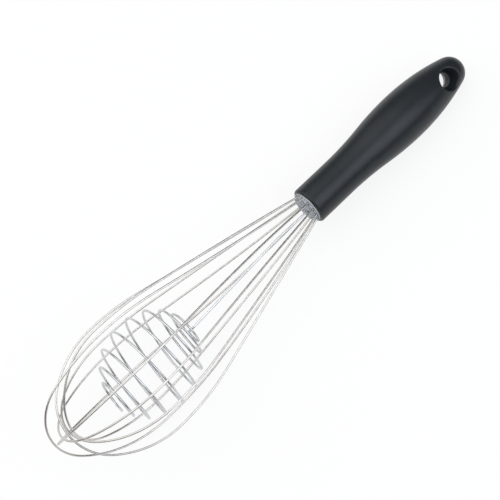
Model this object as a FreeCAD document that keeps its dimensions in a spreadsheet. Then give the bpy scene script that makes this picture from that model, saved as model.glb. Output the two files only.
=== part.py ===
import FreeCAD, Part
import math
import os
import re
import Sketcher
from FreeCAD import Placement, Rotation, Vector

# Balloon whisk, millimetres. Each piece is drawn in the whisk's own frame: Z runs along the axis
# from the mouth of the handle (z = 0) to the tip of the balloon, and azimuths turn about Z from X.
# One resting placement then lays the whole whisk on the floor, which is Z = 0.

HANDLE = {
    "handle_length": 121.8,
    "collar_radius": 10.95,
    "collar_length": 24.0,
    "belly_radius": 14.4,
    "belly_from_mouth": 75.5,
    "swell_radius": 186.0,
    "end_radius": 9.2,
    "rim_round": 1.4,
    "grip_wall": 1.6,
    "eye_from_end": 15.4,
    "eye_radius": 4.1,
    "eye_land": 5.0,
    "eye_flare": 19.0,
    "eye_edge_round": 0.9,
    "eye_azimuth": 74.0,
    "tongue_length": 27.8,
    "core_bore": 8.75,
    "core_proud": 0.8,
    "core_bore_depth": 46.0,
}

PLUG = {
    "plug_proud": 1.8,
    "plug_depth": 11.0,
    "plug_gap": 0.1,
    "plug_edge": 0.6,
    "wire_gap": 0.08,
    "slot_azimuth": 10.0,
}

WIRES = {
    "loop_count": 6,
    "wire_radius": 0.6,
    "strand_circle": 8.0,
    "shank_depth": 40.0,
    "bend_from_mouth": 1.2,
    "bend_radius": 8.0,
    "neck_curve": 147.0,
    "belly_reach": 129.0,
    "tip_round": 28.0,
    "rest_azimuth": 287.0,
}

COIL = {
    "coil_wire_radius": 0.65,
    "stem_offset": 1.5,
    "stem_depth": 42.0,
    "stem_lean_from_mouth": 29.9,
    "stem_reach": 92.4,
    "stem_top_shift": 4.4,
    "hook_radius": 3.5,
    "coil_turns": 8,
    "coil_tail_turn": 0.15,
    "coil_start_radius": 8.4,
    "coil_middle_radius": 26.0,
    "coil_end_radius": 7.0,
    "coil_length": 53.5,
    "coil_end_crowding": 0.6,
    "coil_barrel_power": 1.2,
    "coil_turn_lean": 3.5,
    "coil_shift": 2.9,
}

# The six loops were bent by hand, so each has its own reach from the mouth to its tip, half width
# and azimuth of its first and second strand at the belly, and push of its tip to the first strand.
LOOP_SIZES = {
    "loop_1": {"reach": 174.2, "first": 36.6, "second": 31.4, "push": 2.2, "swing": -1.5, "swing_back": 179.0},
    "loop_2": {"reach": 172.7, "first": 35.9, "second": 33.0, "push": 0.0, "swing": 44.2, "swing_back": 224.3},
    "loop_3": {"reach": 177.2, "first": 34.4, "second": 34.8, "push": -1.8, "swing": 65.8, "swing_back": 241.5},
    "loop_4": {"reach": 180.7, "first": 34.4, "second": 34.1, "push": -0.6, "swing": 89.4, "swing_back": 268.6},
    "loop_5": {"reach": 182.4, "first": 33.6, "second": 38.0, "push": 1.5, "swing": 139.2, "swing_back": 322.4},
    "loop_6": {"reach": 171.1, "first": 34.1, "second": 34.4, "push": -1.5, "swing": 147.8, "swing_back": 305.4},
}

# The two slots of each loop, counted round the plug. Loops 5 and 6 have changed their far slots.
LOOP_SLOTS = {
    "loop_1": (0, 6),
    "loop_2": (1, 7),
    "loop_3": (2, 8),
    "loop_4": (3, 9),
    "loop_5": (4, 11),
    "loop_6": (5, 10),
}

TINY = 1e-4

doc = FreeCAD.newDocument("balloon_whisk")
sheet = doc.addObject("Spreadsheet::Sheet", "Sizes")


def fill_sheet():
    cells = {}
    for group in (HANDLE, PLUG, WIRES, COIL):
        cells.update(group)
    for loop, values in LOOP_SIZES.items():
        for name, value in values.items():
            cells[loop + "_" + name] = value
    for row, (name, value) in enumerate(cells.items(), start=1):
        sheet.set("A%d" % row, name)
        sheet.set("B%d" % row, str(value))
        sheet.setAlias("B%d" % row, name)
    doc.recompute()
    return list(cells)


ALIASES = fill_sheet()


def size(name):
    return float(getattr(sheet, name))


def tied(formula):
    """A formula in the sheet's own names, as an expression of the document."""
    return re.sub(r"[a-z]\w*", lambda word: "Sizes." + word[0] if word[0] in ALIASES else word[0], formula)


# Bodies, sketches and features

def new_body(label):
    body = doc.addObject("PartDesign::Body", label)
    body.Label = label
    return body


def new_sketch(body, name, role, lift=None):
    """A sketch on one of the body's own planes, lifted off it by a formula where one is given."""
    planes = [plane for plane in body.Origin.OriginFeatures if plane.Role == role]
    sketch = body.newObject("Sketcher::SketchObject", name)
    sketch.AttachmentSupport = [(planes[0], "")]
    sketch.MapMode = "FlatFace"
    if lift:
        sketch.setExpression("AttachmentOffset.Base.z", tied(lift))
        doc.recompute()
    return sketch


def bind(sketch, kind, where, name, formula):
    """One dimension of a sketch, measured as drawn and then tied to the sheet."""
    if kind == "Radius":
        value = sketch.Geometry[where[0]].Radius
    else:
        point = sketch.getPoint(where[-2], where[-1])
        value = point.x if kind == "DistanceX" else point.y
    number = sketch.addConstraint(Sketcher.Constraint(kind, *where, value))
    sketch.renameConstraint(number, name)
    sketch.setExpression("Constraints." + name, tied(formula))


class Outline:
    """A closed chain of lines and arcs in a sketch, each joined to the one before it."""

    def __init__(self, sketch, x, y):
        self.sketch = sketch
        self.first = None
        self.last = None
        self.place = Vector(x, y, 0)

    def join(self, number, begin, end, smooth):
        if self.last is None:
            self.first = (number, begin)
        else:
            kind = "Tangent" if smooth else "Coincident"
            self.sketch.addConstraint(Sketcher.Constraint(kind, *self.last, number, begin))
        self.last = (number, end)
        return number

    def line(self, x, y, smooth=False):
        target = Vector(x, y, 0)
        number = self.sketch.addGeometry(Part.LineSegment(self.place, target), False)
        if abs(target.x - self.place.x) < TINY:
            self.sketch.addConstraint(Sketcher.Constraint("Vertical", number))
        elif abs(target.y - self.place.y) < TINY:
            self.sketch.addConstraint(Sketcher.Constraint("Horizontal", number))
        self.place = target
        return self.join(number, 1, 2, smooth)

    def arc(self, centre, radius, start, stop, smooth=True):
        """An arc between two angles in degrees, drawn the way that they run."""
        low, high = sorted((math.radians(start), math.radians(stop)))
        circle = Part.Circle(Vector(centre[0], centre[1], 0), Vector(0, 0, 1), radius)
        number = self.sketch.addGeometry(Part.ArcOfCircle(circle, low, high), False)
        angle = math.radians(stop)
        self.place = Vector(centre[0] + radius * math.cos(angle), centre[1] + radius * math.sin(angle), 0)
        if start < stop:
            return self.join(number, 1, 2, smooth)
        return self.join(number, 2, 1, smooth)

    def close(self):
        self.sketch.addConstraint(Sketcher.Constraint("Coincident", *self.last, *self.first))


def through_all(body, name, sketch):
    pocket = body.newObject("PartDesign::Pocket", name)
    pocket.Profile = sketch
    pocket.Midplane = True
    pocket.Type = "ThroughAll"
    return pocket


def turned(body, kind, name, sketch, axis):
    feature = body.newObject("PartDesign::" + kind, name)
    feature.Profile = sketch
    feature.ReferenceAxis = (sketch, [axis])
    feature.Angle = 360.0
    return feature


def round_pattern(body, name, feature, count):
    axes = [axis for axis in body.Origin.OriginFeatures if axis.Role == "Z_Axis"]
    pattern = body.newObject("PartDesign::PolarPattern", name)
    pattern.Originals = [feature]
    pattern.Axis = (axes[0], [""])
    pattern.Angle = 360.0
    pattern.setExpression("Occurrences", tied(count))
    body.Tip = pattern
    return pattern


# The outline of the handle: a cylindrical collar at the mouth, a hollow curve that swells to the
# belly, a long curve back from the belly, and a round end. The core has the same one, inset.

REAR_RADIUS = ("( ( handle_length - end_radius - belly_from_mouth ) ^ 2 + belly_radius ^ 2"
               " - end_radius ^ 2 ) / ( 2 * ( belly_radius - end_radius ) )")


def rear_radius():
    run = size("handle_length") - size("end_radius") - size("belly_from_mouth")
    belly = size("belly_radius")
    end = size("end_radius")
    return (run ** 2 + belly ** 2 - end ** 2) / (2 * (belly - end))


def rear_angle():
    """The angle below the belly's level at which the long rear curve meets the round end."""
    run = size("handle_length") - size("end_radius") - size("belly_from_mouth")
    return math.degrees(math.atan2(run, rear_radius() - size("belly_radius")))


def swell():
    """The radius of the hollow curve, and the angle at which it meets the belly's front curve."""
    run = size("belly_from_mouth") - size("collar_length")
    step = size("belly_radius") - size("collar_radius")
    both = (run ** 2 + step ** 2) / (2 * step)
    return both - size("swell_radius"), math.degrees(math.asin(run / both))


def tongue_root():
    """How deep from the mouth the round core ends and its tongue begins."""
    return size("handle_length") - size("tongue_length")


def eye_depth():
    return size("handle_length") - size("eye_from_end")


def tongue_edge():
    """The half width of the inset outline at the tongue's root, and its angle on the rear curve."""
    rear = rear_radius()
    inset = rear - size("grip_wall")
    drop = tongue_root() - size("belly_from_mouth")
    angle = math.asin(drop / inset)
    return size("belly_radius") - rear + inset * math.cos(angle), math.degrees(angle)


def belly_curves(outline, inset, start, smooth=True):
    """From a point on the rear curve, over the belly and the hollow curve to the collar."""
    belly = size("belly_radius")
    level = -size("belly_from_mouth")
    rear = rear_radius()
    front = size("swell_radius")
    hollow, turn = swell()
    names = {}
    names["rear"] = outline.arc((belly - rear, level), rear - inset, start, 0, smooth)
    names["front"] = outline.arc((belly - front, level), front - inset, 0, turn)
    centre = (size("collar_radius") + hollow, -size("collar_length"))
    names["hollow"] = outline.arc(centre, hollow + inset, 180 + turn, 180)
    return names


def bind_belly(sketch, names, inset):
    bind(sketch, "Radius", (names["rear"],), "rear_radius", REAR_RADIUS + inset)
    bind(sketch, "Radius", (names["front"],), "front_radius", "swell_radius" + inset)
    bind(sketch, "DistanceX", (-1, 1, names["front"], 1), "belly_half", "belly_radius" + inset)
    bind(sketch, "DistanceY", (-1, 1, names["front"], 1), "belly_level", "- belly_from_mouth")
    bind(sketch, "DistanceY", (-1, 1, names["front"], 3), "belly_centre", "- belly_from_mouth")
    bind(sketch, "DistanceX", (-1, 1, names["hollow"], 1), "collar_half", "collar_radius" + inset)
    bind(sketch, "DistanceY", (-1, 1, names["hollow"], 1), "collar_level", "- collar_length")


def on_axis(sketch, number, position):
    sketch.addConstraint(Sketcher.Constraint("PointOnObject", number, position, -2))


def grip_outline(sketch):
    length = size("handle_length")
    end = size("end_radius")
    collar = size("collar_radius")
    rim = size("rim_round")
    outline = Outline(sketch, 0, -length)
    pole = outline.arc((0, end - length), end, -90, -rear_angle())
    names = belly_curves(outline, 0, -rear_angle())
    outline.line(collar, -rim, smooth=True)
    lip = outline.arc((collar - rim, -rim), rim, 0, 90)
    outline.line(0, 0, smooth=True)
    axis = outline.line(0, -length)
    outline.close()
    bind(sketch, "Radius", (pole,), "end_radius", "end_radius")
    bind(sketch, "DistanceY", (-1, 1, pole, 1), "end_level", "- handle_length")
    bind_belly(sketch, names, "")
    bind(sketch, "Radius", (lip,), "rim_round", "rim_round")
    sketch.addConstraint(Sketcher.Constraint("PointOnObject", axis, 1, -1))
    on_axis(sketch, axis, 1)


def core_outline(sketch, bored):
    """The core's round part, from the tongue's root to the mouth, with or without its bore."""
    wall = size("grip_wall")
    root = tongue_root()
    top = size("core_proud")
    outline = Outline(sketch, 0, -root)
    foot = outline.line(tongue_edge()[0], -root)
    names = belly_curves(outline, wall, -tongue_edge()[1], smooth=False)
    outline.line(size("collar_radius") - wall, top, smooth=True)
    if bored:
        rim = outline.line(size("core_bore"), top)
        bore = outline.line(size("core_bore"), -size("core_bore_depth"))
        floor = outline.line(0, -size("core_bore_depth"))
        axis = outline.line(0, -root)
        bind(sketch, "DistanceX", (-1, 1, bore, 1), "bore", "core_bore")
        bind(sketch, "DistanceY", (-1, 1, floor, 1), "bore_depth", "- core_bore_depth")
    else:
        rim = outline.line(0, top)
        axis = outline.line(0, -root)
    outline.close()
    bind(sketch, "DistanceY", (-1, 1, foot, 1), "root_level", "tongue_length - handle_length")
    bind(sketch, "DistanceY", (-1, 1, rim, 1), "proud", "core_proud")
    bind_belly(sketch, names, " - grip_wall")
    on_axis(sketch, axis, 1)


def tongue_outline(sketch):
    """The flat tongue that carries the eye, as wide as the inset outline of the handle's end."""
    wall = size("grip_wall")
    root = tongue_root()
    length = size("handle_length")
    end = size("end_radius")
    rear = rear_radius()
    level = -size("belly_from_mouth")
    shift = size("belly_radius") - rear
    edge, angle = tongue_edge()
    outline = Outline(sketch, -edge, -root)
    foot = outline.line(edge, -root)
    right = outline.arc((shift, level), rear - wall, -angle, -rear_angle(), smooth=False)
    cap = outline.arc((0, end - length), end - wall, -rear_angle(), rear_angle() - 180)
    left = outline.arc((-shift, level), rear - wall, rear_angle() - 180, angle - 180)
    outline.close()
    bind(sketch, "DistanceY", (-1, 1, foot, 1), "root_level", "tongue_length - handle_length")
    for name, side in (("right", right), ("left", left)):
        bind(sketch, "Radius", (side,), name + "_radius", REAR_RADIUS + " - grip_wall")
        bind(sketch, "DistanceY", (-1, 1, side, 3), name + "_level", "- belly_from_mouth")
    bind(sketch, "Radius", (cap,), "end_radius", "end_radius - grip_wall")
    bind(sketch, "DistanceY", (-1, 1, cap, 3), "end_level", "end_radius - handle_length")
    on_axis(sketch, cap, 3)


def tongue(body, kind):
    sketch = new_sketch(body, body.Name + "_tongue_sketch", "XZ_Plane")
    tongue_outline(sketch)
    feature = body.newObject("PartDesign::" + kind, body.Name + "_tongue")
    feature.Profile = sketch
    feature.Midplane = True
    feature.setExpression("Length", tied("eye_land"))
    return feature


def eye_sketch(body, name):
    """A sketch across the handle, with its origin at the middle of the eye."""
    sketch = new_sketch(body, name, "YZ_Plane")
    sketch.setExpression("AttachmentOffset.Base.y", tied("eye_from_end - handle_length"))
    doc.recompute()
    return sketch


def eye_outline(sketch):
    """Half of the eye in section: the land in the middle, flaring out to both faces."""
    land = size("eye_land") / 2
    bore = size("eye_radius")
    reach = 2 * size("belly_radius")
    flare = bore + (reach - land) * math.tan(math.radians(size("eye_flare")))
    outline = Outline(sketch, -reach, 0)
    outline.line(-reach, flare)
    slope = outline.line(-land, bore)
    middle = outline.line(land, bore)
    outline.line(reach, flare)
    far = outline.line(reach, 0)
    outline.line(-reach, 0)
    outline.close()
    bind(sketch, "DistanceX", (-1, 1, slope, 1), "near_reach", "- 2 * belly_radius")
    bind(sketch, "DistanceX", (-1, 1, far, 1), "far_reach", "2 * belly_radius")
    bind(sketch, "DistanceX", (-1, 1, middle, 1), "near_land", "- eye_land / 2")
    bind(sketch, "DistanceX", (-1, 1, middle, 2), "far_land", "eye_land / 2")
    bind(sketch, "DistanceY", (-1, 1, middle, 1), "bore", "eye_radius")
    flare_formula = "eye_radius + ( 2 * belly_radius - eye_land / 2 ) * tan( eye_flare * 1 deg )"
    bind(sketch, "DistanceY", (-1, 1, slope, 1), "near_flare", flare_formula)
    bind(sketch, "DistanceY", (-1, 1, far, 1), "far_flare", flare_formula)
    sketch.addConstraint(Sketcher.Constraint("PointOnObject", far, 2, -1))


def eye_edges(body):
    """The two edges where the flares of the eye break out through the handle's skin."""
    found = []
    least = size("eye_radius") + size("eye_land") / 2
    for number, edge in enumerate(body.Shape.Edges, start=1):
        middle = edge.CenterOfMass
        box = edge.BoundBox
        near = abs(middle.z + eye_depth()) < size("eye_radius")
        if near and abs(middle.y) > least and box.XLength > 2 * size("eye_radius"):
            found.append("Edge%d" % number)
    return found


def make_grip():
    body = new_body("handle_grip")
    sketch = new_sketch(body, "grip_sketch", "XZ_Plane")
    grip_outline(sketch)
    turned(body, "Revolution", "grip_solid", sketch, "V_Axis")
    doc.recompute()
    hollow = new_sketch(body, "grip_hollow_sketch", "XZ_Plane")
    core_outline(hollow, bored=False)
    turned(body, "Groove", "grip_hollow", hollow, "V_Axis")
    doc.recompute()
    tongue(body, "Pocket")
    doc.recompute()
    eye = eye_sketch(body, "grip_eye_sketch")
    eye_outline(eye)
    turned(body, "Groove", "grip_eye", eye, "H_Axis")
    doc.recompute()
    rounding = body.newObject("PartDesign::Fillet", "grip_eye_round")
    rounding.Base = (body.getObject("grip_eye"), eye_edges(body))
    rounding.setExpression("Radius", tied("eye_edge_round"))
    return body


def make_core():
    body = new_body("handle_core")
    sketch = new_sketch(body, "core_sketch", "XZ_Plane")
    core_outline(sketch, bored=True)
    turned(body, "Revolution", "core_solid", sketch, "V_Axis")
    doc.recompute()
    tongue(body, "Pad")
    doc.recompute()
    eye = new_sketch(body, "core_eye_sketch", "XZ_Plane")
    circle = eye.addGeometry(Part.Circle(Vector(0, -eye_depth(), 0), Vector(0, 0, 1),
                                         size("eye_radius")), False)
    bind(eye, "Radius", (circle,), "bore", "eye_radius")
    bind(eye, "DistanceY", (-1, 1, circle, 3), "eye_level", "eye_from_end - handle_length")
    on_axis(eye, circle, 3)
    through_all(body, "core_eye", eye)
    return body


# The wire holder: a slotted plug in the core's mouth, and the resin that seals the wires behind it

def round_hole(body, name, across, radius, depth, lift):
    """A round blind hole, sunk from the face that the sketch lies on."""
    sketch = new_sketch(body, name + "_sketch", "XY_Plane", lift)
    circle = sketch.addGeometry(Part.Circle(Vector(size(across), 0, 0), Vector(0, 0, 1), 1.0), False)
    bind(sketch, "Radius", (circle,), "radius", radius)
    bind(sketch, "DistanceX", (-1, 1, circle, 3), "across", across)
    sketch.addConstraint(Sketcher.Constraint("PointOnObject", circle, 3, -1))
    hole = body.newObject("PartDesign::Pocket", name)
    hole.Profile = sketch
    hole.setExpression("Length", tied(depth))
    return hole


def make_plug():
    body = new_body("wire_plug")
    outer = size("core_bore") - size("plug_gap")
    top = size("plug_proud")
    edge = size("plug_edge")
    sketch = new_sketch(body, "plug_sketch", "XZ_Plane")
    outline = Outline(sketch, 0, -size("plug_depth"))
    foot = outline.line(outer, -size("plug_depth"))
    outline.line(outer, top - edge)
    lip = outline.arc((outer - edge, top - edge), edge, 0, 90)
    outline.line(0, top, smooth=True)
    axis = outline.line(0, -size("plug_depth"))
    outline.close()
    bind(sketch, "DistanceX", (-1, 1, foot, 2), "half", "core_bore - plug_gap")
    bind(sketch, "DistanceY", (-1, 1, foot, 1), "depth", "- plug_depth")
    bind(sketch, "Radius", (lip,), "edge", "plug_edge")
    bind(sketch, "DistanceY", (-1, 1, axis, 1), "proud", "plug_proud")
    on_axis(sketch, axis, 1)
    turned(body, "Revolution", "plug_solid", sketch, "V_Axis")
    doc.recompute()
    half = size("wire_radius") + size("wire_gap")
    start = size("strand_circle")
    slot = new_sketch(body, "slot_sketch", "XY_Plane")
    cut = Outline(slot, size("core_bore"), -half)
    side = cut.line(size("core_bore"), half)
    cut.line(start, half)
    bottom = cut.arc((start, 0), half, 90, 270)
    cut.line(size("core_bore"), -half, smooth=True)
    cut.close()
    bind(slot, "Radius", (bottom,), "half", "wire_radius + wire_gap")
    bind(slot, "DistanceX", (-1, 1, bottom, 3), "circle", "strand_circle")
    bind(slot, "DistanceX", (-1, 1, side, 1), "reach", "core_bore")
    slot.addConstraint(Sketcher.Constraint("PointOnObject", bottom, 3, -1))
    pocket = through_all(body, "slot", slot)
    doc.recompute()
    round_pattern(body, "slots", pocket, "2 * loop_count")
    doc.recompute()
    round_hole(body, "stem_hole", "stem_offset", "coil_wire_radius + wire_gap",
               "plug_depth + plug_proud", "plug_proud")
    return body


def make_resin():
    body = new_body("resin_seal")
    sketch = new_sketch(body, "resin_sketch", "XY_Plane", "- plug_depth")
    circle = sketch.addGeometry(Part.Circle(Vector(0, 0, 0), Vector(0, 0, 1), 1.0), False)
    bind(sketch, "Radius", (circle,), "radius", "core_bore")
    sketch.addConstraint(Sketcher.Constraint("Coincident", circle, 3, -1, 1))
    solid = body.newObject("PartDesign::Pad", "resin_solid")
    solid.Profile = sketch
    solid.Reversed = True
    solid.setExpression("Length", tied("core_bore_depth - plug_depth"))
    doc.recompute()
    shank = round_hole(body, "shank_hole", "strand_circle", "wire_radius + wire_gap",
                       "shank_depth + wire_gap - plug_depth", "- plug_depth")
    doc.recompute()
    round_pattern(body, "shank_holes", shank, "2 * loop_count")
    doc.recompute()
    round_hole(body, "stem_hole", "stem_offset", "coil_wire_radius + wire_gap",
               "stem_depth + wire_gap - plug_depth", "- plug_depth")
    return body


# Bent wire: points with the direction of the wire at each, joined by pairs of arcs

def bent(start, along, stop):
    """A straight edge, or the arc that leaves start along a direction and ends at stop."""
    chord = stop - start
    side = along - chord * (along.dot(chord) / chord.dot(chord))
    if side.Length < TINY:
        return Part.LineSegment(start, stop).toShape()
    angle = along.getAngle(chord)
    side.normalize()
    middle = start + chord * 0.5 + side * (chord.Length / 2 * math.tan(angle / 2))
    return Part.Arc(start, middle, stop).toShape()


def two_arcs(start, along, stop, onward):
    """The pair of arcs that meet smoothly between two points of the wire."""
    chord = stop - start
    both = along + onward
    spread = 2 * (1 - along.dot(onward))
    if spread < TINY ** 2:
        reach = chord.dot(chord) / (2 * chord.dot(both))
    else:
        reach = (-chord.dot(both) + math.sqrt(chord.dot(both) ** 2 + spread * chord.dot(chord))) / spread
    meet = (start + along * reach + stop - onward * reach) * 0.5
    turn = (stop - onward * reach) - (start + along * reach)
    if along.getAngle(chord) < TINY and onward.getAngle(chord) < TINY:
        return [Part.LineSegment(start, stop).toShape()]
    turn.normalize()
    return [bent(start, along, meet), bent(meet, turn, stop)]


def wire_path(stations):
    edges = []
    for (start, along), (stop, onward) in zip(stations, stations[1:]):
        edges += two_arcs(start, along, stop, onward)
    return Part.Wire(edges)


def drawn_wire(path, stations, radius):
    """The solid wire: a round section carried along the path."""
    start, along = stations[0]
    section = Part.Wire(Part.Circle(start, along, radius).toShape())
    return Part.Wire(path).makePipeShell([section], True, False)


def half_loop(half, push, reach):
    """One strand of a loop in its own plane, from its shank to just short of the loop's tip.

    Each station is the distance from the axis, the height, and the direction in both.
    """
    circle = size("strand_circle")
    bend = size("bend_from_mouth")
    neck = size("neck_curve")
    belly = size("belly_reach")
    tip = size("tip_round")
    run = belly - bend
    rise = half - neck - circle
    slope = math.atan2(rise, run) + math.asin(neck / math.hypot(run, rise))
    ease = size("bend_radius") * math.tan(slope / 2)
    sine = math.sin(slope)
    cosine = math.cos(slope)
    stations = [(circle, -size("shank_depth"), 0, 1), (circle, bend - ease, 0, 1)]
    stations.append((circle + ease * sine, bend + ease * cosine, sine, cosine))
    for share in (1.0, 0.5, 0.0):
        turn = slope * share
        stations.append((half - neck + neck * math.cos(turn), belly - neck * math.sin(turn),
                         math.sin(turn), math.cos(turn)))
    span = reach - belly
    wide = half - push
    shoulder = (span ** 2 - 2 * span * tip + wide ** 2) / (2 * (wide - tip))
    join = math.atan2(span - tip, push - half + shoulder)
    for share in (0.5, 1.0):
        turn = join * share
        stations.append((half - shoulder + shoulder * math.cos(turn), belly + shoulder * math.sin(turn),
                         -math.sin(turn), math.cos(turn)))
    for share in (1 / 3, 2 / 3):
        turn = join + (math.pi / 2 - join) * share
        stations.append((push + tip * math.cos(turn), reach - tip + tip * math.sin(turn),
                         -math.sin(turn), math.cos(turn)))
    return stations


def smooth_step(value):
    held = min(max(value, 0.0), 1.0)
    return held * held * (3 - 2 * held)


def slot_azimuth(slot):
    return size("slot_azimuth") + slot * 180.0 / size("loop_count")


def loop_place(loop, across, height):
    """A point of a loop's plane, swung round to where its strand stands in the balloon."""
    first, second = LOOP_SLOTS[loop]
    drift = smooth_step(height / size("belly_reach"))
    start = slot_azimuth(first)
    front = start + (size(loop + "_swing") - start) * drift
    start = slot_azimuth(second)
    back = start + (size(loop + "_swing_back") - start) * drift - 180.0
    half = size(loop + ("_first" if across > 0 else "_second"))
    if height > size("belly_reach"):
        held = min(max(across / half, -1.0), 1.0)
        share = 0.5 + 0.5 * math.sin(math.pi / 2 * held)
    else:
        share = 1.0 if across > 0 else 0.0
    azimuth = math.radians(share * front + (1 - share) * back)
    return Vector(across * math.cos(azimuth), across * math.sin(azimuth), height)


def loop_stations(loop):
    push = size(loop + "_push")
    reach = size(loop + "_reach")
    first = half_loop(size(loop + "_first"), push, reach)
    second = half_loop(size(loop + "_second"), -push, reach)
    flat = first + [(push, reach, -1, 0)]
    flat += [(-across, height, out, -up) for across, height, out, up in reversed(second)]
    stations = []
    for across, height, out, up in flat:
        before = loop_place(loop, across - out * TINY, height - up * TINY)
        after = loop_place(loop, across + out * TINY, height + up * TINY)
        along = after - before
        along.normalize()
        stations.append((loop_place(loop, across, height), along))
    return stations


def coil_place(turn):
    """The middle of the coil's wire after so many turns, counted from the hook."""
    turns = size("coil_turns")
    share = turn / turns
    barrel = math.sin(math.pi * min(share, 1.0)) ** size("coil_barrel_power") if 0 < share < 1 else 0.0
    plain = size("coil_start_radius") + (size("coil_end_radius") - size("coil_start_radius")) * share
    radius = plain + (size("coil_middle_radius") - plain) * barrel
    crowded = size("coil_end_crowding") * math.sin(2 * math.pi * share) / (2 * math.pi)
    height = size("stem_reach") + size("coil_length") * (share - crowded)
    across = radius * math.cos(2 * math.pi * turn)
    lean = math.tan(math.radians(size("coil_turn_lean")))
    return Vector(size("coil_shift") + across, radius * math.sin(2 * math.pi * turn), height + lean * across)


def coil_along(turn):
    direction = coil_place(turn + TINY) - coil_place(turn - TINY)
    direction.normalize()
    return direction


def coil_stations():
    """The stem, the hook at its top, the barrel of turns, and a short straight tail."""
    up = Vector(0, 0, 1)
    azimuth = math.radians(slot_azimuth(0))
    foot = Vector(math.cos(azimuth), math.sin(azimuth), 0) * size("stem_offset")
    hook = size("hook_radius")
    top = Vector(size("stem_top_shift"), 0, size("stem_reach") - hook)
    sway = foot + up * size("stem_lean_from_mouth")
    lean = top - sway
    lean.normalize()
    start = coil_place(0)
    swing = (start.x - top.x) / 2
    low = Vector(top.x + swing, -hook - swing, (start.z + size("stem_reach")) / 2)
    stations = [(foot - up * size("stem_depth"), up), (foot + up * size("plug_proud"), up)]
    stations += [(sway, lean), (top, lean)]
    stations.append((Vector(top.x, -hook, size("stem_reach")), Vector(0, -1, 0)))
    stations.append((low, Vector(1, 0, 0)))
    quarters = int(round(4 * size("coil_turns")))
    for quarter in range(quarters + 1):
        turn = quarter / 4
        stations.append((coil_place(turn), coil_along(turn)))
    last = size("coil_turns") + size("coil_tail_turn")
    stations.append((coil_place(last), coil_along(last)))
    tail = coil_place(last) + coil_along(last) * 2 * size("coil_wire_radius")
    stations.append((tail, coil_along(last)))
    return stations


def make_wire(label, stations, radius):
    path = wire_path(stations)
    wire = doc.addObject("Part::Feature", label)
    wire.Label = label
    wire.Shape = drawn_wire(path, stations, radius)
    swept = math.pi * radius ** 2 * path.Length
    print("%s: length %.1f, volume over section times length %.4f"
          % (label, path.Length, wire.Shape.Volume / swept))
    return wire, path


def clearances(paths):
    """The least gap of the coil to itself and between each two wires, measured on points."""
    points = {}
    for label, (path, radius) in paths.items():
        points[label] = path.discretize(Distance=0.8)
    least = 1e9
    coil = points["beater_coil"]
    for first in range(len(coil)):
        for second in range(first + 12, len(coil)):
            least = min(least, coil[first].distanceToPoint(coil[second]))
    print("coil's least gap to itself %.2f" % (least - 2 * size("coil_wire_radius")))
    labels = list(points)
    for number, label in enumerate(labels):
        for other in labels[number + 1:]:
            reach = min(a.distanceToPoint(b) for a in points[label] for b in points[other])
            gap = reach - paths[label][1] - paths[other][1]
            if gap < 1.0:
                print("%s to %s: least gap %.2f" % (label, other, gap))


# How the whisk lies: the floor touches the handle and the lowest strand on either side of it

def handle_ring():
    """Points (radius, height) along the front of the belly, where the handle can rest."""
    front = size("swell_radius")
    turn = math.radians(swell()[1])
    points = []
    for step in range(201):
        angle = turn * step / 200
        points.append((size("belly_radius") - front + front * math.cos(angle),
                       front * math.sin(angle) - size("belly_from_mouth")))
    return points


def resting_up(paths):
    """The direction of up, in the whisk's own frame, when it lies on the floor."""
    strands = []
    for label, (path, radius) in paths.items():
        if label != "beater_coil":
            strands += [(point, radius) for point in path.discretize(Distance=1.0)]
    ring = handle_ring()
    azimuth = math.radians(size("rest_azimuth"))
    up = Vector(-math.cos(azimuth), -math.sin(azimuth), 0)
    for step in range(30):
        out = Vector(-up.x, -up.y, 0)
        out.normalize()
        side = Vector(0, 0, 1).cross(out)
        seats = [min((out * radius + Vector(0, 0, height) for radius, height in ring), key=up.dot)]
        for hand in (1, -1):
            near = [(point, radius) for point, radius in strands if hand * point.dot(side) > 0]
            point, radius = min(near, key=lambda pair: pair[0].dot(up) - pair[1])
            seats.append(point - up * radius)
        up = (seats[1] - seats[0]).cross(seats[2] - seats[0])
        up.normalize()
        if up.dot(out) > 0:
            up = up * -1
    return up, seats[0].dot(up)


def resting_place(paths, shapes):
    """Lays the whisk down: its axis towards +X, the floor at Z = 0, its box centred on Z."""
    up, floor = resting_up(paths)
    ahead = Vector(0, 0, 1) - up * up.z
    ahead.normalize()
    side = up.cross(ahead)
    turn = Rotation(FreeCAD.Matrix(ahead.x, ahead.y, ahead.z, 0, side.x, side.y, side.z, 0,
                                   up.x, up.y, up.z, 0, 0, 0, 0, 1))
    box = FreeCAD.BoundBox()
    for shape in shapes:
        laid = shape.copy()
        laid.Placement = Placement(Vector(), turn).multiply(laid.Placement)
        box.add(laid.optimalBoundingBox(False))
    print("pitch of the axis %.2f degrees" % math.degrees(math.asin(up.z)))
    return Placement(Vector(-box.Center.x, -box.Center.y, -floor), turn)


def spun(azimuth):
    return Placement(Vector(), Rotation(Vector(0, 0, 1), azimuth))


def build():
    paths = {}
    pieces = []
    for loop in LOOP_SIZES:
        wire, path = make_wire("wire_" + loop, loop_stations(loop), size("wire_radius"))
        paths[wire.Label] = (path, size("wire_radius"))
        pieces.append((wire, 0.0))
    wire, path = make_wire("beater_coil", coil_stations(), size("coil_wire_radius"))
    paths[wire.Label] = (path, size("coil_wire_radius"))
    pieces.append((wire, 0.0))
    across = size("eye_azimuth") - 90.0
    pieces.append((make_grip(), across))
    pieces.append((make_core(), across))
    pieces.append((make_plug(), size("slot_azimuth")))
    pieces.append((make_resin(), size("slot_azimuth")))
    doc.recompute()
    clearances(paths)
    shapes = []
    for piece, azimuth in pieces:
        shape = piece.Shape.copy()
        shape.Placement = spun(azimuth)
        shapes.append(shape)
    lying = resting_place(paths, shapes)
    for piece, azimuth in pieces:
        piece.Placement = lying.multiply(spun(azimuth))
    doc.recompute()
    print("resting placement", lying)
    return [piece for piece, azimuth in pieces]


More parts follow.
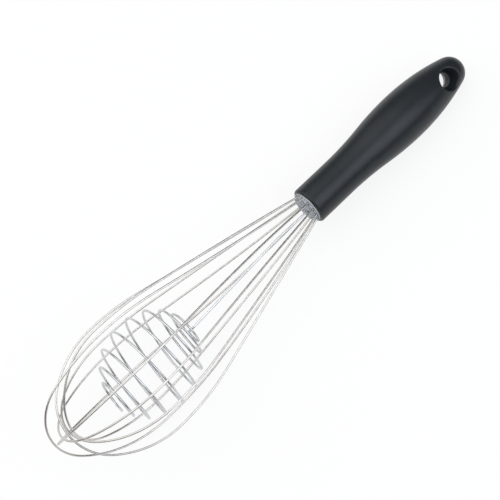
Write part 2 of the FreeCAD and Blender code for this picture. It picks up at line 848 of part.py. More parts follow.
def check(pieces):
    for item in doc.Objects:
        if "Invalid" in item.State or "Error" in item.State:
            raise ValueError("%s is not sound: %s" % (item.Label, item.State))
    for piece in pieces:
        if piece.Shape.isNull() or not piece.Shape.isValid():
            raise ValueError(piece.Label + " has no sound shape")
        if len(piece.Shape.Solids) != 1:
            raise ValueError("%s has %d solids" % (piece.Label, len(piece.Shape.Solids)))
        print("%s: volume %.1f, faces %d" % (piece.Label, piece.Shape.Volume, len(piece.Shape.Faces)))


PIECES = build()
check(PIECES)
os.makedirs("parts", exist_ok=True)
for piece in PIECES:
    piece.Shape.exportStep("parts/%s.step" % piece.Label)
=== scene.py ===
import math
from collections import namedtuple

import bpy
from mathutils import Matrix, Vector


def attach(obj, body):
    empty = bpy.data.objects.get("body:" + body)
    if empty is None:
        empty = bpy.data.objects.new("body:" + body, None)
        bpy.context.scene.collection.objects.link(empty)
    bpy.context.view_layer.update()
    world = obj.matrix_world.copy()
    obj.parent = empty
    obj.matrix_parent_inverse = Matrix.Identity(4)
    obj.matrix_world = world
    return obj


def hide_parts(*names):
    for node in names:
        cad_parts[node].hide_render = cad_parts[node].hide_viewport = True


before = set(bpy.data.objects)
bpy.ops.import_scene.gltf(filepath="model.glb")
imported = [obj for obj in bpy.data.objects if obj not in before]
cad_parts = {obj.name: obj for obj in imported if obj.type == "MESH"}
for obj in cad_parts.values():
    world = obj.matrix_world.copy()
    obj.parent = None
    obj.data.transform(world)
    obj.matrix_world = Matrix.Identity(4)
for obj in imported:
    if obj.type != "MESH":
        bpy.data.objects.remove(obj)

bl_info = {
    "name": "Balloon Whisk",
    "version": (1, 0, 0),
    "blender": (4, 5, 0),
    "location": "View3D > Sidebar > Whisk",
    "description": "Builds the wires of a balloon whisk, finishes its handle and sets up its studio",
    "category": "Object",
}

# The whisk's own frame has its origin in the middle of the handle's mouth and Z along the axis to
# the tip of the balloon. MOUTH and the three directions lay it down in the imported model's frame.
MOUTH = Vector((-0.0304279, -0.0024306, 0.0214735))
OWN_X = Vector((0.026889, 0.958702, -0.283140))
OWN_Y = Vector((-0.090639, 0.284413, 0.954407))
OWN_Z = Vector((0.995521, 0.0, 0.094543))

CAMERA_PLACE = Vector((-0.00418, 0.6525, 0.1950))
CAMERA_RIGHT = Vector((0.68788, 0.16817, -0.70607))
CAMERA_UP = Vector((-0.72582, 0.15938, -0.66916))
CAMERA_LENS = 91.2
CAMERA_SENSOR = 36.0
CAMERA_SHIFT = (-0.001, 0.001)
CAMERA_NEAREST = 0.01
CAMERA_FARTHEST = 50.0

# Directions of the light, along the camera's right, up and back: a broad key lamp that throws the
# shadow, a narrower lamp that draws the sheen along the handle, and the middle of the general
# light, which dims from there (1.0) round to the sides of the room (0.0).
KEY_AIM = (-0.62, 0.42, 0.68)
KEY_COLOUR = (1.0, 0.99, 0.98)
SHEEN_AIM = (0.56, 0.04, 0.83)
SHEEN_COLOUR = (0.86, 0.92, 1.0)
LIT_PLACE = Vector((0.0, 0.0, 0.02))
POOL = (0.05, 0.05, 1.0)
SKY_TONES = (
    (0.0, (0.045, 0.041, 0.037)),
    (0.50, (0.075, 0.070, 0.066)),
    (0.74, (0.15, 0.15, 0.152)),
    (0.90, (0.30, 0.31, 0.325)),
    (1.0, (0.36, 0.375, 0.395)),
)

# Painted shade: the core is painted dark, as shade deep in the handle, where it lies deeper than the
# first depth from the mouth, and light, its own grey, where it lies nearer than the second.
CORE_PAINTED_SHADE = (0.090, 0.060)

# A noise's values lie mostly between these two, so they carry its darkest and lightest tone.
NOISE_LOW = 0.3
NOISE_HIGH = 0.7

# How finely a wire is drawn: the longest step along it, the widest turn in one step, the sides of
# its section, and how much of its radius is eased off at both ends.
WIRE_STEP = 0.0015
WIRE_TURN = math.radians(3.0)
WIRE_SIDES = 20
WIRE_END = 0.2

# Below these a stretch of wire counts as straight: the sideways part of its direction, the angle
# in radians between its direction and its chord, and the spread of its two directions.
STRAIGHT_SIDE = 1e-5
STRAIGHT_ANGLE = 1e-4
STRAIGHT_SPREAD = 1e-8

# Each loop's reach from the mouth to its tip, its half width at the belly on its first and second
# strand, the push of its tip to the first strand, where each strand stands, and its two slots.
Loop = namedtuple("Loop", "name reach first second push swing swing_back slot far_slot")
LOOPS = (
    Loop("wire_loop_1", 0.1742, 0.0366, 0.0314, 0.0022, -1.5, 179.0, 0, 6),
    Loop("wire_loop_2", 0.1727, 0.0359, 0.0330, 0.0, 44.2, 224.3, 1, 7),
    Loop("wire_loop_3", 0.1772, 0.0344, 0.0348, -0.0018, 65.8, 241.5, 2, 8),
    Loop("wire_loop_4", 0.1807, 0.0344, 0.0341, -0.0006, 89.4, 268.6, 3, 9),
    Loop("wire_loop_5", 0.1824, 0.0336, 0.0380, 0.0015, 139.2, 322.4, 4, 11),
    Loop("wire_loop_6", 0.1711, 0.0341, 0.0344, -0.0015, 147.8, 305.4, 5, 10),
)


def length(name, about, default):
    """A length in metres."""
    return bpy.props.FloatProperty(
        name=name, description=about, default=default, precision=5, unit="LENGTH")


def number(name, about, default):
    return bpy.props.FloatProperty(name=name, description=about, default=default, precision=3)


def angle(name, about, degrees):
    return bpy.props.FloatProperty(
        name=name, description=about, default=math.radians(degrees), unit="ROTATION")


class WHISK_PG_loops(bpy.types.PropertyGroup):
    wire_radius: length("Wire radius", "Half the thickness of a loop's wire", 0.0006)
    strand_circle: length("Strand circle", "Distance of each shank from the whisk's axis", 0.0080)
    shank_depth: length("Shank depth", "How far the wire runs back into the handle", 0.0400)
    bend_from_mouth: length("Bend from mouth", "Height of the bend at a strand's slot", 0.0012)
    bend_radius: length("Bend radius", "Radius of the bend at a strand's slot", 0.0080)
    neck_curve: length("Neck curve", "Radius of the strand from the handle to the belly", 0.1470)
    belly_reach: length("Belly reach", "Height of the balloon's widest place above the mouth", 0.1290)
    tip_round: length("Tip round", "Radius of each loop round its tip", 0.0280)
    slot_azimuth: angle("Slot azimuth", "Where the first slot stands round the plug", 10.0)
    slots: bpy.props.IntProperty(name="Slots", description="Slots round the plug", default=12)


class WHISK_PG_coil(bpy.types.PropertyGroup):
    wire_radius: length("Wire radius", "Half the thickness of the coil's wire", 0.00065)
    stem_offset: length("Stem offset", "Distance of the stem's foot from the axis", 0.0015)
    stem_depth: length("Stem depth", "How far the stem runs back into the handle", 0.0420)
    stem_lean: length("Stem lean", "Height above the mouth where the stem starts to lean", 0.0299)
    stem_reach: length("Stem reach", "Height of the hook at the stem's top", 0.0924)
    stem_top_shift: length("Stem top shift", "Distance of the stem's top from the axis", 0.0044)
    hook_radius: length("Hook radius", "Radius of the hook at the stem's top", 0.0035)
    turns: bpy.props.IntProperty(name="Turns", description="Whole turns of the coil", default=8)
    tail_turn: number("Tail turn", "Share of a turn past the last whole one", 0.15)
    start_radius: length("Start radius", "Radius of the turn next to the hook", 0.0084)
    middle_radius: length("Middle radius", "Radius of the turns at the coil's middle", 0.0260)
    end_radius: length("End radius", "Radius of the last turn", 0.0070)
    height: length("Height", "Height of the coil from its first turn to its last", 0.0535)
    crowding: number("Crowding", "How much closer the turns lie at both ends", 0.6)
    barrel_power: number("Barrel power", "How fast the turns narrow towards both ends", 1.2)
    plug_proud: length("Plug proud", "How far the slotted plug stands out of the mouth", 0.0018)
    turn_lean: angle("Turn lean", "Tilt of the turns across the axis", 3.5)
    shift: length("Shift", "Distance of the coil's middle from the axis", 0.0029)


class WHISK_PG_studio(bpy.types.PropertyGroup):
    floor_width: length("Floor width", "Width of the square floor", 6.0)
    key_power: number("Key power", "Power of the key lamp in watts", 10.5)
    key_width: length("Key width", "Width of the square key lamp", 1.55)
    lamp_distance: length("Lamp distance", "Distance of both lamps from the whisk", 0.95)
    sheen_power: number("Sheen power", "Power of the sheen lamp in watts", 3.9)
    sheen_width: length("Sheen width", "Width of the square sheen lamp", 0.74)
    sky: number("Sky", "Strength of the studio's general light", 1.6)
    floor_glow: number("Floor glow", "Share of the floor's white that the shadow leaves alone", 0.84)


def laid(point):
    """A point of the whisk's own frame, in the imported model's frame."""
    return MOUTH + turned(point)


def turned(direction):
    return OWN_X * direction.x + OWN_Y * direction.y + OWN_Z * direction.z


# Bent wire: stations with the direction of the wire at each, joined by pairs of arcs

def arc_points(start, along, stop):
    """Points after start on the arc that leaves it along a direction and ends at stop."""
    chord = stop - start
    side = along - chord * (along.dot(chord) / chord.dot(chord))
    count = max(2, math.ceil(chord.length / WIRE_STEP))
    if side.length < STRAIGHT_SIDE:
        return [start + chord * (share / count) for share in range(1, count + 1)]
    half = math.atan2(side.length, along.dot(chord) / chord.length)
    count = max(count, math.ceil(half / WIRE_TURN))
    side.normalize()
    radius = chord.length / (2 * math.sin(half))
    centre = (start + stop) / 2 - side * radius * math.cos(half)
    ahead = chord.normalized()
    points = []
    for share in range(1, count + 1):
        turn = half * (2 * share / count - 1)
        points.append(centre + (ahead * math.sin(turn) + side * math.cos(turn)) * radius)
    return points


def joined(start, along, stop, onward):
    """Points after start on the pair of arcs that meet smoothly between two stations."""
    chord = stop - start
    if along.angle(chord) < STRAIGHT_ANGLE and onward.angle(chord) < STRAIGHT_ANGLE:
        return arc_points(start, chord.normalized(), stop)
    both = along + onward
    spread = 2 * (1 - along.dot(onward))
    if spread < STRAIGHT_SPREAD:
        reach = chord.dot(chord) / (2 * chord.dot(both))
    else:
        root = math.sqrt(chord.dot(both) ** 2 + spread * chord.dot(chord))
        reach = (-chord.dot(both) + root) / spread
    meet = (start + along * reach + stop - onward * reach) * 0.5
    turn = (stop - onward * reach) - (start + along * reach)
    turn.normalize()
    return arc_points(start, along, meet) + arc_points(meet, turn, stop)


def centre_line(stations):
    points = [stations[0][0]]
    for (start, along), (stop, onward) in zip(stations, stations[1:]):
        points += joined(start, along, stop, onward)
    return points


# One section of a wire: its middle, the wire's direction there, a direction across it, its radius
# and how far along the wire it is.
Ring = namedtuple("Ring", "middle ahead side radius run")


def wire_rings(points, radius):
    """The sections of a wire, with two close together at each end for the eased edge."""
    rings = []
    side = (points[1] - points[0]).orthogonal().normalized()
    run = 0.0
    for place, point in enumerate(points):
        before = points[max(place - 1, 0)]
        after = points[min(place + 1, len(points) - 1)]
        ahead = (after - before).normalized()
        side = (side - ahead * side.dot(ahead)).normalized()
        run += (point - before).length
        rings.append(Ring(point, ahead, side, radius, run))
    ease = radius * WIRE_END
    first, last = rings[0], rings[-1]
    head = [
        first._replace(radius=radius - ease),
        first._replace(middle=first.middle + first.ahead * ease),
    ]
    tail = [
        last._replace(middle=last.middle - last.ahead * ease),
        last._replace(radius=radius - ease),
    ]
    return head + rings[1:-1] + tail


def wire_mesh(name, points, radius):
    """A round wire along the points, with its two ends cut square and slightly eased."""
    rings = wire_rings(points, radius)
    sides = WIRE_SIDES
    vertices = []
    for ring in rings:
        other = ring.ahead.cross(ring.side)
        for spoke in range(sides):
            turn = 2 * math.pi * spoke / sides
            out = ring.side * math.cos(turn) + other * math.sin(turn)
            vertices.append(ring.middle + out * ring.radius)
    faces = []
    coordinates = []
    around = 2 * math.pi * radius
    for place, (ring, after) in enumerate(zip(rings, rings[1:])):
        low, high = ring.run, after.run
        base = place * sides
        for spoke in range(sides):
            onward = (spoke + 1) % sides
            faces.append((base + spoke, base + onward, base + sides + onward, base + sides + spoke))
            left, right = around * spoke / sides, around * (spoke + 1) / sides
            coordinates += [(low, left), (low, right), (high, right), (high, left)]
    faces.append(tuple(reversed(range(sides))))
    faces.append(tuple(range((len(rings) - 1) * sides, len(rings) * sides)))
    coordinates += [(0.0, 0.0)] * (2 * sides)
    mesh = bpy.data.meshes.new(name)
    mesh.from_pydata([tuple(vertex) for vertex in vertices], [], faces)
    layer = mesh.uv_layers.new(name="along")
    layer.data.foreach_set("uv", [value for pair in coordinates for value in pair])
    smooth = [True] * (len(faces) - 2) + [False, False]
    mesh.polygons.foreach_set("use_smooth", smooth)
    mesh.validate()
    return mesh


def half_loop(sizes, half, push, reach):
    """One strand of a loop in its own plane, from its shank to just short of the loop's tip.

    Each station is the distance from the axis, the height, and the direction in both.
    """
    circle = sizes.strand_circle
    bend = sizes.bend_from_mouth
    neck = sizes.neck_curve
    belly = sizes.belly_reach
    tip = sizes.tip_round
    run = belly - bend
    rise = half - neck - circle
    slope = math.atan2(rise, run) + math.asin(neck / math.hypot(run, rise))
    ease = sizes.bend_radius * math.tan(slope / 2)
    sine = math.sin(slope)
    cosine = math.cos(slope)
    stations = [(circle, -sizes.shank_depth, 0, 1), (circle, bend - ease, 0, 1)]
    stations.append((circle + ease * sine, bend + ease * cosine, sine, cosine))
    for share in (1.0, 0.5, 0.0):
        turn = slope * share
        stations.append((half - neck + neck * math.cos(turn), belly - neck * math.sin(turn),
                         math.sin(turn), math.cos(turn)))
    span = reach - belly
    wide = half - push
    shoulder = (span ** 2 - 2 * span * tip + wide ** 2) / (2 * (wide - tip))
    join = math.atan2(span - tip, push - half + shoulder)
    for share in (0.5, 1.0):
        turn = join * share
        stations.append((half - shoulder + shoulder * math.cos(turn), belly + shoulder * math.sin(turn),
                         -math.sin(turn), math.cos(turn)))
    for share in (1 / 3, 2 / 3):
        turn = join + (math.pi / 2 - join) * share
        stations.append((push + tip * math.cos(turn), reach - tip + tip * math.sin(turn),
                         -math.sin(turn), math.cos(turn)))
    return stations


def smooth_step(value):
    held = min(max(value, 0.0), 1.0)
    return held * held * (3 - 2 * held)


def slot_place(sizes, slot):
    """The azimuth of a slot, in degrees."""
    return math.degrees(sizes.slot_azimuth) + slot * 360.0 / sizes.slots


def loop_place(sizes, loop, across, height):
    """A point of a loop's plane, swung round to where its strand stands in the balloon."""
    drift = smooth_step(height / sizes.belly_reach)
    start = slot_place(sizes, loop.slot)
    front = start + (loop.swing - start) * drift
    start = slot_place(sizes, loop.far_slot)
    back = start + (loop.swing_back - start) * drift - 180.0
    half = loop.first if across > 0 else loop.second
    if height > sizes.belly_reach:
        share = 0.5 + 0.5 * math.sin(math.pi / 2 * min(max(across / half, -1.0), 1.0))
    else:
        share = 1.0 if across > 0 else 0.0
    azimuth = math.radians(share * front + (1 - share) * back)
    return Vector((across * math.cos(azimuth), across * math.sin(azimuth), height))


def loop_stations(sizes, loop):
    first = half_loop(sizes, loop.first, loop.push, loop.reach)
    second = half_loop(sizes, loop.second, -loop.push, loop.reach)
    flat = first + [(loop.push, loop.reach, -1, 0)]
    flat += [(-across, height, out, -up) for across, height, out, up in reversed(second)]
    stations = []
    nudge = 1e-4
    for across, height, out, up in flat:
        before = loop_place(sizes, loop, across - out * nudge, height - up * nudge)
        after = loop_place(sizes, loop, across + out * nudge, height + up * nudge)
        stations.append((loop_place(sizes, loop, across, height), (after - before).normalized()))
    return stations


def coil_place(sizes, turn):
    """The middle of the coil's wire after so many turns, counted from the hook."""
    share = turn / sizes.turns
    barrel = math.sin(math.pi * share) ** sizes.barrel_power if 0 < share < 1 else 0.0
    plain = sizes.start_radius + (sizes.end_radius - sizes.start_radius) * share
    radius = plain + (sizes.middle_radius - plain) * barrel
    crowded = sizes.crowding * math.sin(2 * math.pi * share) / (2 * math.pi)
    height = sizes.stem_reach + sizes.height * (share - crowded)
    across = radius * math.cos(2 * math.pi * turn)
    lean = math.tan(sizes.turn_lean)
    return Vector((sizes.shift + across, radius * math.sin(2 * math.pi * turn), height + lean * across))


def coil_along(sizes, turn):
    nudge = 1e-3
    return (coil_place(sizes, turn + nudge) - coil_place(sizes, turn - nudge)).normalized()


def coil_stations(sizes, slot_azimuth):
    """The stem, the hook at its top, the barrel of turns, and a short straight tail."""
    up = Vector((0, 0, 1))
    foot = Vector((math.cos(slot_azimuth), math.sin(slot_azimuth), 0)) * sizes.stem_offset
    hook = sizes.hook_radius
    top = Vector((sizes.stem_top_shift, 0, sizes.stem_reach - hook))
    sway = foot + up * sizes.stem_lean
    lean = (top - sway).normalized()
    start = coil_place(sizes, 0)
    swing = (start.x - top.x) / 2
    low = Vector((top.x + swing, -hook - swing, (start.z + sizes.stem_reach) / 2))
    stations = [(foot - up * sizes.stem_depth, up), (foot + up * sizes.plug_proud, up)]
    stations += [(sway, lean), (top, lean)]
    stations.append((Vector((top.x, -hook, sizes.stem_reach)), Vector((0, -1, 0))))
    stations.append((low, Vector((1, 0, 0))))
    for quarter in range(4 * sizes.turns + 1):
        stations.append((coil_place(sizes, quarter / 4), coil_along(sizes, quarter / 4)))
    last = sizes.turns + sizes.tail_turn
    stations.append((coil_place(sizes, last), coil_along(sizes, last)))
    tail = coil_place(sizes, last) + coil_along(sizes, last) * 2 * sizes.wire_radius
    stations.append((tail, coil_along(sizes, last)))
    return stations


def place_wire(name, stations, radius, finish):
    """Bends one wire through its stations and stands it in for the solid of that name."""
    points = [laid(point) for point in centre_line(stations)]
    piece = bpy.data.objects.new(name + "_wire", wire_mesh(name + "_wire", points, radius))
    bpy.context.scene.collection.objects.link(piece)
    piece.data.materials.append(finish)
    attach(piece, "root")
    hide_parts(name)


# Materials

def set_stops(ramp, stops):
    """Gives a new colour ramp its stops, each a position and a colour."""
    low, high = ramp.elements[0], ramp.elements[1]
    low.position, low.color = stops[0][0], (*stops[0][1], 1.0)
    high.position, high.color = stops[-1][0], (*stops[-1][1], 1.0)
    for position, colour in stops[1:-1]:
        ramp.elements.new(position).color = (*colour, 1.0)


class Nodes:
    """A material's nodes, with short names for the ones used here."""

    def __init__(self, name):
        self.material = bpy.data.materials.new(name)
        self.material.use_nodes = True
        self.tree = self.material.node_tree
        self.shader = self.tree.nodes["Principled BSDF"]

    def add(self, kind, **settings):
        node = self.tree.nodes.new(kind)
        for key, value in settings.items():
            setattr(node, key, value)
        return node

    def link(self, source, target):
        self.tree.links.new(source, target)

    def place(self, kind, scale):
        """Coordinates in metres times a scale along each axis."""
        where = self.add("ShaderNodeTexCoord")
        mapping = self.add("ShaderNodeMapping")
        mapping.inputs["Scale"].default_value = scale
        self.link(where.outputs[kind], mapping.inputs["Vector"])
        return mapping.outputs["Vector"]

    def noise(self, place, scale, detail=3.0, roughness=0.5):
        node = self.add("ShaderNodeTexNoise")
        node.inputs["Scale"].default_value = scale
        node.inputs["Detail"].default_value = detail
        node.inputs["Roughness"].default_value = roughness
        self.link(place, node.inputs["Vector"])
        return node.outputs["Fac"]

    def tones(self, noise, dark, light, low=NOISE_LOW, high=NOISE_HIGH):
        """Two colours mixed by a noise, from dark at its low value to light at its high one."""
        node = self.add("ShaderNodeValToRGB")
        set_stops(node.color_ramp, [(low, dark), (high, light)])
        self.link(noise, node.inputs["Fac"])
        return node.outputs["Color"]

    def spread(self, noise, low, high):
        """A noise carried to the range from low to high."""
        node = self.add("ShaderNodeMapRange")
        node.inputs["From Min"].default_value = NOISE_LOW
        node.inputs["From Max"].default_value = NOISE_HIGH
        node.inputs["To Min"].default_value = low
        node.inputs["To Max"].default_value = high
        self.link(noise, node.inputs["Value"])
        return node.outputs["Result"]

    def bump(self, height, strength, distance, under=None):
        node = self.add("ShaderNodeBump")
        node.inputs["Strength"].default_value = strength
        node.inputs["Distance"].default_value = distance
        self.link(height, node.inputs["Height"])
        if under is not None:
            self.link(under, node.inputs["Normal"])
        return node.outputs["Normal"]

    def set(self, name, value):
        """A shader socket, from a node where one is given and else a plain number or colour."""
        socket = self.shader.inputs[name]
        if isinstance(value, bpy.types.NodeSocket):
            self.link(value, socket)
        else:
            socket.default_value = value


def grip_finish():
    """Soft charcoal plastic with a fine matt grain and faint cloudiness."""
    nodes = Nodes("soft_grip_finish")
    place = nodes.place("Object", (1.0, 1.0, 1.0))
    cloud = nodes.noise(place, 90.0, 4.0, 0.6)
    grain = nodes.noise(place, 1900.0, 2.0, 0.6)
    pores = nodes.noise(place, 900.0, 3.0, 0.5)
    nodes.set("Base Color", nodes.tones(cloud, (0.0140, 0.0180, 0.0215), (0.0185, 0.0230, 0.0270)))
    nodes.set("Roughness", nodes.spread(pores, 0.30, 0.37))
    nodes.set("Specular IOR Level", 0.30)
    under = nodes.bump(pores, 0.35, 0.00008)
    nodes.set("Normal", nodes.bump(grain, 0.8, 0.00008, under))
    return nodes.material


def core_finish():
    """Hard grey plastic with moulding haze, with painted shade making it dark at the tongue deep in the
    handle, and light at the mouth's rim.
    """
    nodes = Nodes("hard_core_haze_and_painted_shade")
    place = nodes.place("Object", (1.0, 1.0, 1.0))
    haze = nodes.noise(place, 260.0, 4.0, 0.6)
    grain = nodes.noise(place, 1800.0, 2.0, 0.5)
    # The dark tones are painted shade for the core deep in the handle; the light tones are the core's
    # own grey.
    dark = nodes.tones(haze, (0.060, 0.066, 0.070), (0.090, 0.097, 0.102))
    light = nodes.tones(haze, (0.34, 0.36, 0.37), (0.48, 0.50, 0.51))
    # Painted shade: blends from the dark tones deep in the handle to the light ones near the mouth.
    where = nodes.add("ShaderNodeSeparateXYZ")
    nodes.link(place, where.inputs["Vector"])
    along = nodes.add("ShaderNodeMapRange")
    along.inputs["From Min"].default_value = MOUTH.x - CORE_PAINTED_SHADE[0]
    along.inputs["From Max"].default_value = MOUTH.x - CORE_PAINTED_SHADE[1]
    nodes.link(where.outputs["X"], along.inputs["Value"])
    mix = nodes.add("ShaderNodeMix", data_type="RGBA")
    nodes.link(along.outputs["Result"], mix.inputs["Factor"])
    colours = [socket for socket in mix.inputs if socket.type == "RGBA"]
    nodes.link(dark, colours[0])
    nodes.link(light, colours[1])
    nodes.set("Base Color", [socket for socket in mix.outputs if socket.type == "RGBA"][0])
    nodes.set("Roughness", nodes.spread(haze, 0.46, 0.60))
    nodes.set("Specular IOR Level", 0.30)
    nodes.set("Normal", nodes.bump(grain, 0.2, 0.00004))
    return nodes.material


def plug_finish():
    """Bluish-grey plastic with darker flow marks between its lobes."""
    nodes = Nodes("plug_finish")
    place = nodes.place("Object", (1.0, 1.0, 1.0))
    flow = nodes.noise(place, 420.0, 4.0, 0.6)
    grain = nodes.noise(place, 1500.0, 2.0, 0.5)
    marks = nodes.tones(flow, (0.13, 0.17, 0.23), (0.50, 0.53, 0.56), low=0.38, high=0.62)
    nodes.set("Base Color", marks)
    nodes.set("Roughness", nodes.spread(flow, 0.3, 0.45))
    nodes.set("Normal", nodes.bump(grain, 0.2, 0.00004))
    return nodes.material


def resin_finish():
    """Cast resin, amber and slightly cloudy."""
    nodes = Nodes("cast_resin_finish")
    place = nodes.place("Object", (1.0, 1.0, 1.0))
    cloud = nodes.noise(place, 180.0, 5.0, 0.6)
    nodes.set("Base Color", nodes.tones(cloud, (0.30, 0.25, 0.17), (0.45, 0.40, 0.30)))
    nodes.set("Roughness", nodes.spread(cloud, 0.15, 0.3))
    return nodes.material


def loop_finish():
    """Polished drawn wire: fine lines along its length and faint handling marks."""
    nodes = Nodes("polished_wire_finish")
    lines = nodes.noise(nodes.place("UV", (60.0, 3000.0, 1.0)), 1.0, 3.0, 0.6)
    marks = nodes.noise(nodes.place("UV", (220.0, 220.0, 1.0)), 1.0, 4.0, 0.6)
    nodes.set("Base Color", nodes.tones(marks, (0.58, 0.56, 0.53), (0.72, 0.71, 0.69)))
    nodes.set("Metallic", 1.0)
    nodes.set("Roughness", nodes.spread(marks, 0.26, 0.33))
    nodes.set("Normal", nodes.bump(lines, 0.04, 0.00001))
    return nodes.material


def coil_finish():
    """Satin spring wire: duller than the loops, with darker stretches along it."""
    nodes = Nodes("spring_wire_finish")
    lines = nodes.noise(nodes.place("UV", (90.0, 9000.0, 1.0)), 1.0, 3.0, 0.6)
    tone = nodes.noise(nodes.place("UV", (70.0, 70.0, 1.0)), 1.0, 4.0, 0.6)
    nodes.set("Base Color", nodes.tones(tone, (0.54, 0.55, 0.56), (0.76, 0.77, 0.78)))
    nodes.set("Metallic", 1.0)
    nodes.set("Roughness", nodes.spread(tone, 0.25, 0.34))
    nodes.set("Normal", nodes.bump(lines, 0.06, 0.00001))
    return nodes.material


def floor_finish(glow):
    """White studio paper with a barely visible tooth, its white held up for the eye and for metal."""
    nodes = Nodes("studio_floor_finish")
    tooth = nodes.noise(nodes.place("Object", (1.0, 1.0, 1.0)), 700.0, 2.0, 0.5)
    nodes.set("Base Color", nodes.tones(tooth, (0.955, 0.957, 0.96), (0.97, 0.972, 0.975)))
    nodes.set("Roughness", 0.9)
    nodes.set("Specular IOR Level", 0.1)
    path = nodes.add("ShaderNodeLightPath")
    seen = path.outputs["Is Camera Ray"]
    for kind in ("Is Glossy Ray", "Is Transmission Ray"):
        either = nodes.add("ShaderNodeMath", operation="MAXIMUM")
        nodes.link(seen, either.inputs[0])
        nodes.link(path.outputs[kind], either.inputs[1])
        seen = either.outputs["Value"]
    share = nodes.add("ShaderNodeMath", operation="MULTIPLY")
    nodes.link(seen, share.inputs[0])
    share.inputs[1].default_value = glow
    white = nodes.add("ShaderNodeEmission")
    mix = nodes.add("ShaderNodeMixShader")
    nodes.link(share.outputs["Value"], mix.inputs["Fac"])
    nodes.link(nodes.shader.outputs["BSDF"], mix.inputs[1])
    nodes.link(white.outputs["Emission"], mix.inputs[2])
    nodes.link(mix.outputs["Shader"], nodes.tree.nodes["Material Output"].inputs["Surface"])
    return nodes.material


def dress(name, finish):
    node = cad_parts[name]
    node.data.materials.clear()
    node.data.materials.append(finish)


# Operators

class WHISK_OT_handle(bpy.types.Operator):
    """Finish the handle's soft grip and hard core"""
    bl_idname = "whisk.handle"
    bl_label = "Finish the Handle"

    def execute(self, context):
        dress("handle_grip", grip_finish())
        dress("handle_core", core_finish())
        return {"FINISHED"}


class WHISK_OT_holder(bpy.types.Operator):
    """Finish the slotted plug and the resin behind it"""
    bl_idname = "whisk.holder"
    bl_label = "Finish the Wire Holder"

    def execute(self, context):
        dress("wire_plug", plug_finish())
        dress("resin_seal", resin_finish())
        return {"FINISHED"}


class WHISK_OT_loops(bpy.types.Operator):
    """Bend the wire loops of the balloon"""
    bl_idname = "whisk.loops"
    bl_label = "Bend the Loops"

    def execute(self, context):
        sizes = context.scene.whisk_loops
        finish = loop_finish()
        for loop in LOOPS:
            stations = loop_stations(sizes, loop)
            place_wire(loop.name, stations, sizes.wire_radius, finish)
        return {"FINISHED"}


class WHISK_OT_coil(bpy.types.Operator):
    """Wind the beater coil and its stem"""
    bl_idname = "whisk.coil"
    bl_label = "Wind the Coil"

    def execute(self, context):
        sizes = context.scene.whisk_coil
        stations = coil_stations(sizes, context.scene.whisk_loops.slot_azimuth)
        place_wire("beater_coil", stations, sizes.wire_radius, coil_finish())
        return {"FINISHED"}


def add_lamp(name, place, target, power, width, colour):
    """A square lamp at a place, turned to its target."""
    lamp = bpy.data.lights.new(name, "AREA")
    lamp.energy = power
    lamp.size = width
    lamp.color = colour
    holder = bpy.data.objects.new(name, lamp)
    bpy.context.scene.collection.objects.link(holder)
    holder.location = place
    holder.rotation_euler = (target - place).to_track_quat("-Z", "Y").to_euler()


def add_camera(scene):
    """The photograph's camera. It gives back its three directions, which the light follows."""
    camera = bpy.data.cameras.new("studio_camera")
    camera.lens = CAMERA_LENS
    camera.sensor_width = CAMERA_SENSOR
    camera.shift_x, camera.shift_y = CAMERA_SHIFT
    camera.clip_start = CAMERA_NEAREST
    camera.clip_end = CAMERA_FARTHEST
    holder = bpy.data.objects.new("studio_camera", camera)
    scene.collection.objects.link(holder)
    right = turned(CAMERA_RIGHT).normalized()
    up = turned(CAMERA_UP)
    up = (up - right * up.dot(right)).normalized()
    back = right.cross(up)
    place = laid(CAMERA_PLACE)
    holder.matrix_world = Matrix((
        (right.x, up.x, back.x, place.x),
        (right.y, up.y, back.y, place.y),
        (right.z, up.z, back.z, place.z),
        (0.0, 0.0, 0.0, 1.0),
    ))
    scene.camera = holder
    return right, up, back


def set_sky(scene, strength, pool):
    """General light that is bright round one direction and dims away from it, as in a room."""
    world = bpy.data.worlds.new("studio")
    world.use_nodes = True
    scene.world = world
    tree = world.node_tree
    where = tree.nodes.new("ShaderNodeTexCoord")
    facing = tree.nodes.new("ShaderNodeVectorMath")
    facing.operation = "DOT_PRODUCT"
    facing.inputs[1].default_value = pool
    ramp = tree.nodes.new("ShaderNodeValToRGB")
    background = tree.nodes["Background"]
    tree.links.new(where.outputs["Generated"], facing.inputs[0])
    tree.links.new(facing.outputs["Value"], ramp.inputs["Fac"])
    set_stops(ramp.color_ramp, SKY_TONES)
    tree.links.new(ramp.outputs["Color"], background.inputs["Color"])
    background.inputs["Strength"].default_value = strength


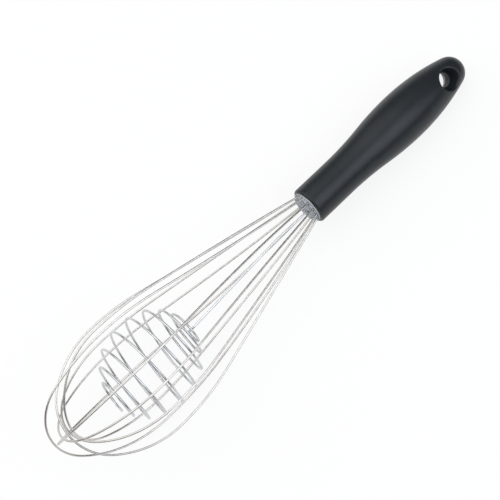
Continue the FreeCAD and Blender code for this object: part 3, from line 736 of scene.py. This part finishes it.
class WHISK_OT_studio(bpy.types.Operator):
    """Lay the white floor, and set the lamps, the general light and the camera"""
    bl_idname = "whisk.studio"
    bl_label = "Set Up the Studio"

    def execute(self, context):
        scene = context.scene
        sizes = scene.whisk_studio
        half = sizes.floor_width / 2
        mesh = bpy.data.meshes.new("studio_floor")
        corners = [(-half, -half, 0), (half, -half, 0), (half, half, 0), (-half, half, 0)]
        mesh.from_pydata(corners, [], [(0, 1, 2, 3)])
        floor = bpy.data.objects.new("studio_floor", mesh)
        scene.collection.objects.link(floor)
        mesh.materials.append(floor_finish(sizes.floor_glow))
        right, up, back = add_camera(scene)
        lamps = (
            ("key_lamp", KEY_AIM, sizes.key_power, sizes.key_width, KEY_COLOUR),
            ("sheen_lamp", SHEEN_AIM, sizes.sheen_power, sizes.sheen_width, SHEEN_COLOUR),
        )
        for name, aim, power, width, colour in lamps:
            direction = (right * aim[0] + up * aim[1] + back * aim[2]).normalized()
            place = LIT_PLACE + direction * sizes.lamp_distance
            add_lamp(name, place, LIT_PLACE, power, width, colour)
        pool = right * POOL[0] + up * POOL[1] + back * POOL[2]
        set_sky(scene, sizes.sky, pool.normalized())
        scene.view_settings.view_transform = "Standard"
        return {"FINISHED"}


OPERATORS = (WHISK_OT_handle, WHISK_OT_holder, WHISK_OT_loops, WHISK_OT_coil, WHISK_OT_studio)


class WHISK_PT_panel(bpy.types.Panel):
    """The whisk's steps and sizes"""
    bl_idname = "WHISK_PT_panel"
    bl_label = "Balloon Whisk"
    bl_space_type = "VIEW_3D"
    bl_region_type = "UI"
    bl_category = "Whisk"

    def draw(self, context):
        for step in OPERATORS:
            self.layout.operator(step.bl_idname)
        scene = context.scene
        for group in (scene.whisk_loops, scene.whisk_coil, scene.whisk_studio):
            column = self.layout.column(align=True)
            for name in group.__annotations__:
                column.prop(group, name)


CLASSES = (WHISK_PG_loops, WHISK_PG_coil, WHISK_PG_studio, *OPERATORS, WHISK_PT_panel)


def register():
    for item in CLASSES:
        bpy.utils.register_class(item)
    bpy.types.Scene.whisk_loops = bpy.props.PointerProperty(type=WHISK_PG_loops)
    bpy.types.Scene.whisk_coil = bpy.props.PointerProperty(type=WHISK_PG_coil)
    bpy.types.Scene.whisk_studio = bpy.props.PointerProperty(type=WHISK_PG_studio)


def unregister():
    del bpy.types.Scene.whisk_studio
    del bpy.types.Scene.whisk_coil
    del bpy.types.Scene.whisk_loops
    for item in reversed(CLASSES):
        bpy.utils.unregister_class(item)


def main():
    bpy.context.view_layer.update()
    register()
    bpy.ops.whisk.handle()
    bpy.ops.whisk.holder()
    bpy.ops.whisk.loops()
    bpy.ops.whisk.coil()
    bpy.ops.whisk.studio()


if __name__ == "__main__":
    main()
